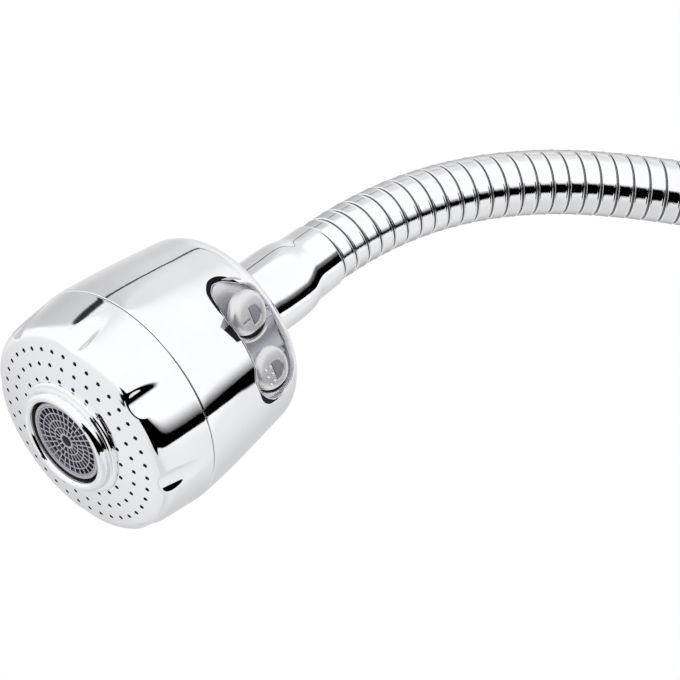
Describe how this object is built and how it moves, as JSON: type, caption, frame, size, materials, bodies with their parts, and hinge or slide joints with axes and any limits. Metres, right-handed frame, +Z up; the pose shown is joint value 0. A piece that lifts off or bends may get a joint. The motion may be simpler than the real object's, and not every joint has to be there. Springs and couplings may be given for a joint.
{
  "type": "gooseneck spray head",
  "caption": "Two-mode chrome spray head with a rocker and aerator on a stay-put interlocked metal gooseneck with a union-nut inlet.",
  "frame": {"origin": "centre of the inlet nut's mouth, where the water supply's male thread screws in", "axes": "+Z up, +X out of the nut's mouth towards the supply; the hose leaves towards -X and arches down in the XZ plane to the head"},
  "size_m": [0.3407, 0.056, 0.1233],
  "materials": {
    "chrome_shell": "polished",
    "chrome_strip": "polished",
    "brass": "satin",
    "steel": "satin",
    "rubber": "matte",
    "aerator_plastic": "satin",
    "core_plastic": "satin"
  },
  "bodies": {
    "inlet": {"inlet_nut": "chrome_shell", "inlet_washer": "rubber", "inlet_filter": "steel"},
    "hose_1": {"base_tailpiece": "brass", "base_ferrule": "chrome_shell", "base_crimp_ring": "steel", "hose_bands_1": "chrome_strip", "hose_liner_1": "rubber"},
    "hose_2": {"hose_bands_2": "chrome_strip", "hose_liner_2": "rubber"},
    "hose_3": {"hose_bands_3": "chrome_strip", "hose_liner_3": "rubber"},
    "hose_4": {"hose_bands_4": "chrome_strip", "hose_liner_4": "rubber"},
    "hose_5": {"hose_bands_5": "chrome_strip", "hose_liner_5": "rubber"},
    "hose_6": {"hose_bands_6": "chrome_strip", "hose_liner_6": "rubber"},
    "hose_7": {"hose_bands_7": "chrome_strip", "hose_liner_7": "rubber"},
    "hose_8": {"hose_bands_8": "chrome_strip", "hose_liner_8": "rubber"},
    "hose_9": {"hose_bands_9": "chrome_strip", "hose_liner_9": "rubber", "neck_ferrule": "chrome_shell", "swivel_nipple": "brass", "nipple_o_rings": "rubber", "neck_crimp_ring": "steel"},
    "head": {"swivel_washer": "core_plastic", "rear_housing": "chrome_shell", "front_housing": "chrome_shell", "housing_seal": "rubber", "manifold_plate": "core_plastic", "diverter_body": "core_plastic", "body_screws": "steel", "spool_end_cap": "core_plastic", "aerator_collar": "chrome_shell", "aerator_body": "aerator_plastic", "aerator_grid": "aerator_plastic", "aerator_screen": "steel", "aerator_washer": "rubber", "rocker_pin": "steel"},
    "rocker": {"mode_rocker": "chrome_shell"},
    "spool": {"diverter_spool": "core_plastic", "spool_o_rings": "rubber"}
  },
  "joints": [
    {"name": "base_swivel", "type": "hinge", "parent": "inlet", "child": "hose_1", "pos_m": [-0.013, 0, 0], "axis": [1, 0, 0], "continuous": true},
    {"name": "flex_1_arch", "type": "hinge", "parent": "hose_1", "child": "hose_2", "pos_m": [-0.0707, 0, 0], "axis": [0, 1, 0], "range_deg": [-18, 18]},
    {"name": "flex_2_side", "type": "hinge", "parent": "hose_2", "child": "hose_3", "pos_m": [-0.0964, 0, 0], "axis": [0, 0, 1], "range_deg": [-18, 18]},
    {"name": "flex_3_arch", "type": "hinge", "parent": "hose_3", "child": "hose_4", "pos_m": [-0.12209, 0, 0], "axis": [0, 1, 0], "range_deg": [-18, 18]},
    {"name": "flex_4_side", "type": "hinge", "parent": "hose_4", "child": "hose_5", "pos_m": [-0.14779, 0, 0], "axis": [0, 0, 1], "range_deg": [-18, 18]},
    {"name": "flex_5_arch", "type": "hinge", "parent": "hose_5", "child": "hose_6", "pos_m": [-0.17349, 0, 0], "axis": [0, 1, 0], "range_deg": [-18, 18]},
    {"name": "flex_6_side", "type": "hinge", "parent": "hose_6", "child": "hose_7", "pos_m": [-0.19914, 0, -0.00143], "axis": [-0.1115, 0, 0.9938], "range_deg": [-18, 18]},
    {"name": "flex_7_arch", "type": "hinge", "parent": "hose_7", "child": "hose_8", "pos_m": [-0.22416, 0, -0.00705], "axis": [0, 1, 0], "range_deg": [-14, 18]},
    {"name": "flex_8_side", "type": "hinge", "parent": "hose_8", "child": "hose_9", "pos_m": [-0.24722, 0, -0.01825], "axis": [-0.5432, 0, 0.8396], "range_deg": [-18, 18]},
    {"name": "head_swivel", "type": "hinge", "parent": "hose_9", "child": "head", "pos_m": [-0.28836, 0, -0.0561], "axis": [0.7009, 0, 0.7133], "continuous": true},
    {"name": "mode_rocker_tilt", "type": "hinge", "parent": "head", "child": "rocker", "pos_m": [-0.28667, -0.01828, -0.07158], "axis": [-0.7009, 0, -0.7133], "range_deg": [0, 14]},
    {"name": "spool_slide", "type": "slide", "parent": "head", "child": "spool", "axis": [0.5955, 0.5505, -0.5852], "range_m": [0, 0.00203]}
  ],
  "couplings": [
    {"joint": "mode_rocker_tilt", "follows": "spool_slide", "rad_per_m": 120.48}
  ]
}
